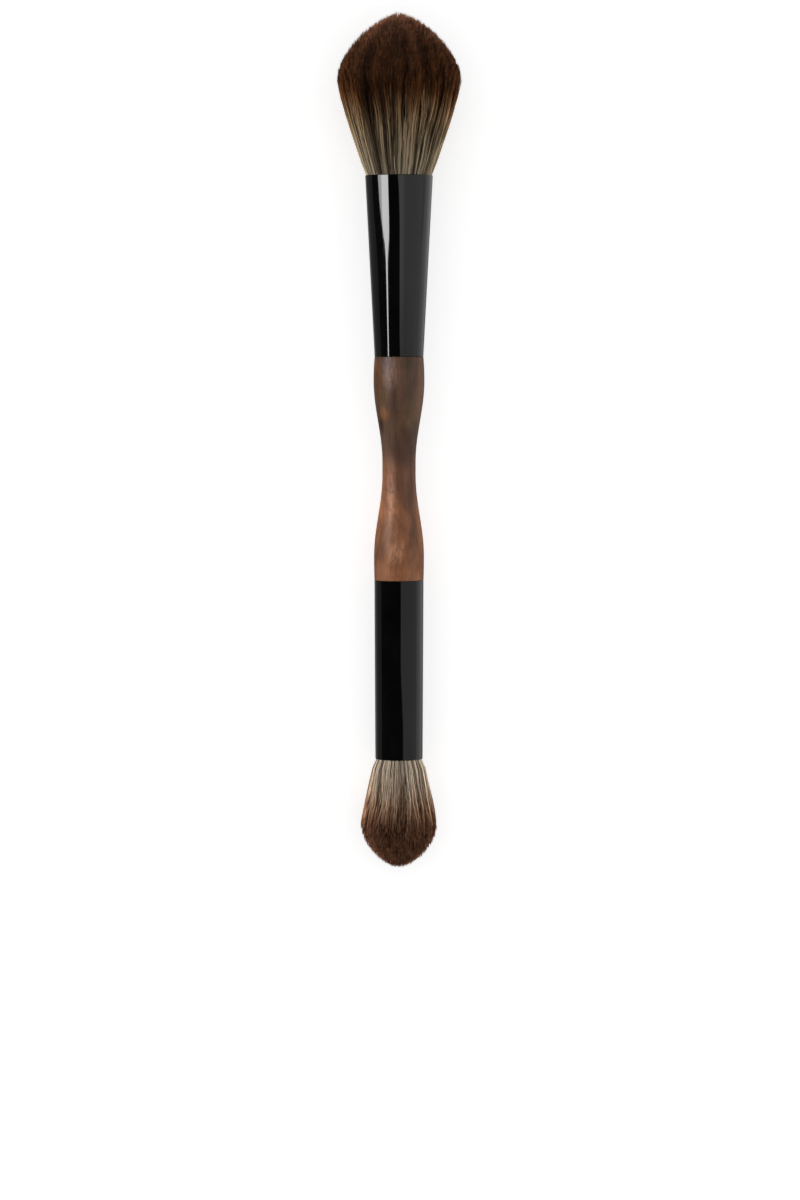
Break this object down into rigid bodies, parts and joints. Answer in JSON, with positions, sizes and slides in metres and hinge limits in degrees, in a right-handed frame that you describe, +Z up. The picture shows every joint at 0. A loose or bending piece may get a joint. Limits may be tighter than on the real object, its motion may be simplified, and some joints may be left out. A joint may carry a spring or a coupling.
{
  "type": "double ended makeup brush",
  "caption": "Double ended makeup brush: a waisted walnut grip with a black ferrule at each end, holding a large pointed head and a small round head of two-tone filament.",
  "frame": {"origin": "centre of the surface that the brush lies on, below the middle of its length and width", "axes": "+Y along the brush towards the large head, +Z up, +X to the right of someone who looks down with the large head away from them"},
  "size_m": [0.0289, 0.2, 0.0282],
  "materials": {
    "filament": "synthetic filament, pale taupe at the ferrule and dyed dark brown towards the tips",
    "cured_resin": "cured adhesive, amber, hidden inside the ferrules",
    "ferrule": "drawn aluminium tube, gloss black lacquer",
    "walnut": "turned walnut, satin lacquer"
  },
  "bodies": {
    "root": {"large_tuft": "filament", "large_resin": "cured_resin", "large_ferrule": "ferrule", "large_tenon_glue": "cured_resin", "handle": "walnut", "small_tenon_glue": "cured_resin", "small_ferrule": "ferrule", "small_resin": "cured_resin", "small_tuft": "filament"}
  },
  "joints": []
}
